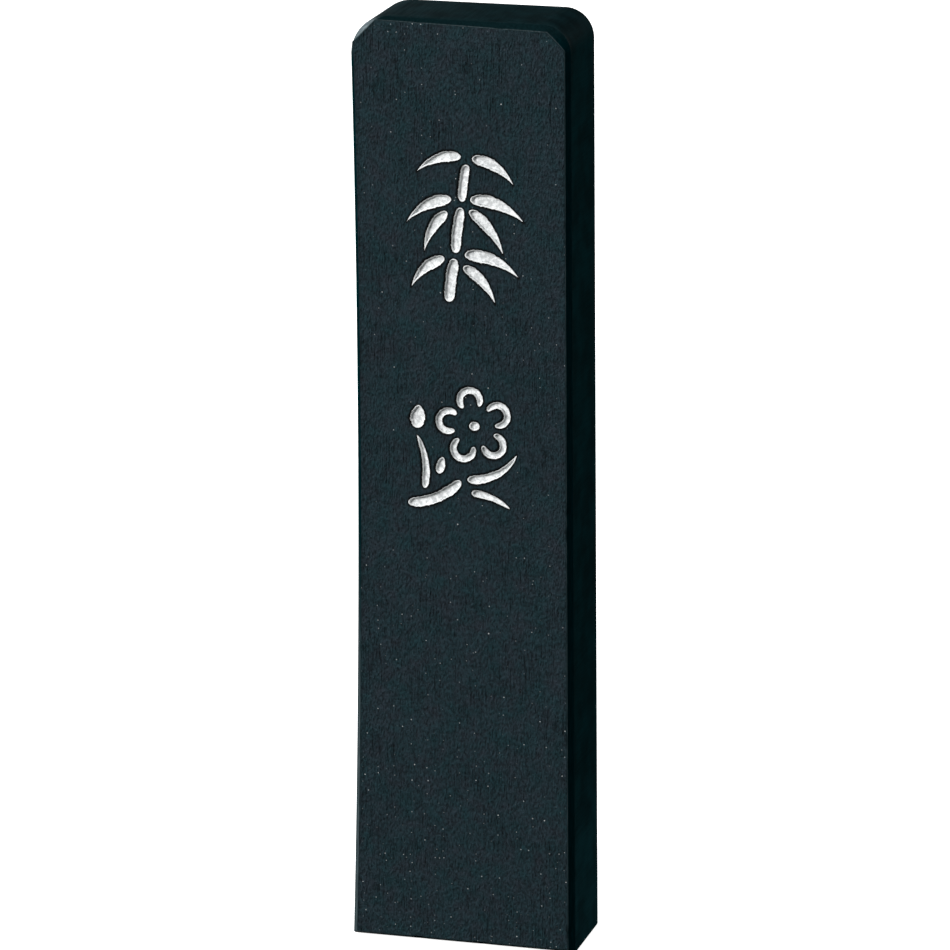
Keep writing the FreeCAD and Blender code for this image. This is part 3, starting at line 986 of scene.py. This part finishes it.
class INKSTICK_OT_stage(bpy.types.Operator):
    """Build the floor, the lights and the camera"""
    bl_idname = "inkstick.stage"
    bl_label = "Build the Studio"

    def execute(self, context):
        settings = context.scene.inkstick_stage
        scene = context.scene
        target = Vector((0.0, 0.0, LENGTH / 2 * MM))
        add_floor(settings)
        for name, place, size, power in SOFTBOXES:
            add_light(name, place, size, power, target)
        scene.world = room_world(settings.room_colour[:])
        scene.view_settings.view_transform = "Standard"
        add_camera(scene, settings, target)
        return {"FINISHED"}


def add_floor(settings):
    """A flat sheet of paper much larger than the stick, at the foot's level."""
    corners = FLOOR_REACH * np.array([[-1.0, -1.0, 0.0], [1.0, -1.0, 0.0],
                                      [1.0, 1.0, 0.0], [-1.0, 1.0, 0.0]])
    floor = make_mesh("studio_floor", corners, np.array([[0, 1, 2, 3]]),
                      [floor_material(settings.floor_colour[:], settings.flag_colour[:],
                                      FLOOR_GLOW)])


def add_camera(scene, settings, target):
    """A long lens on the stick's middle, a little to its right and above."""
    azimuth, elevation = settings.azimuth, settings.elevation
    back = Vector((math.sin(azimuth) * math.cos(elevation),
                   -math.cos(azimuth) * math.cos(elevation), math.sin(elevation)))
    right = Vector((math.cos(azimuth), math.sin(azimuth), 0.0))
    above = back.cross(right)
    aim = target + right * AIM_RIGHT * MM + above * AIM_ABOVE * MM
    camera = bpy.data.objects.new("camera", bpy.data.cameras.new("camera"))
    camera.data.lens = settings.lens
    camera.data.sensor_width = 36.0
    camera.data.clip_start = 0.05
    scene.collection.objects.link(camera)
    point_at(camera, aim + back * settings.distance, aim, settings.roll)
    scene.camera = camera


class INKSTICK_PT_panel(bpy.types.Panel):
    """Lists the builders and their sizes and colours"""
    bl_idname = "INKSTICK_PT_panel"
    bl_label = "Ink Stick"
    bl_space_type = "VIEW_3D"
    bl_region_type = "UI"
    bl_category = "Ink Stick"

    def draw(self, context):
        for operator, settings in ((INKSTICK_OT_bar, context.scene.inkstick_bar),
                                   (INKSTICK_OT_pigment, context.scene.inkstick_pigment),
                                   (INKSTICK_OT_stage, context.scene.inkstick_stage)):
            box = self.layout.box()
            box.operator(operator.bl_idname)
            for key in settings.__annotations__:
                box.prop(settings, key)


CLASSES = (InkStickBarSettings, InkStickPigmentSettings, InkStickStageSettings,
           INKSTICK_OT_bar, INKSTICK_OT_pigment, INKSTICK_OT_stage, INKSTICK_PT_panel)


def register():
    for item in CLASSES:
        bpy.utils.register_class(item)
    bpy.types.Scene.inkstick_bar = bpy.props.PointerProperty(type=InkStickBarSettings)
    bpy.types.Scene.inkstick_pigment = bpy.props.PointerProperty(type=InkStickPigmentSettings)
    bpy.types.Scene.inkstick_stage = bpy.props.PointerProperty(type=InkStickStageSettings)


def unregister():
    del bpy.types.Scene.inkstick_stage
    del bpy.types.Scene.inkstick_pigment
    del bpy.types.Scene.inkstick_bar
    for item in reversed(CLASSES):
        bpy.utils.unregister_class(item)


def main():
    """Builds the studio, the bar and the pigment."""
    register()
    bpy.ops.inkstick.stage()
    bpy.ops.inkstick.bar()
    bpy.ops.inkstick.pigment()


if __name__ == "__main__":
    main()
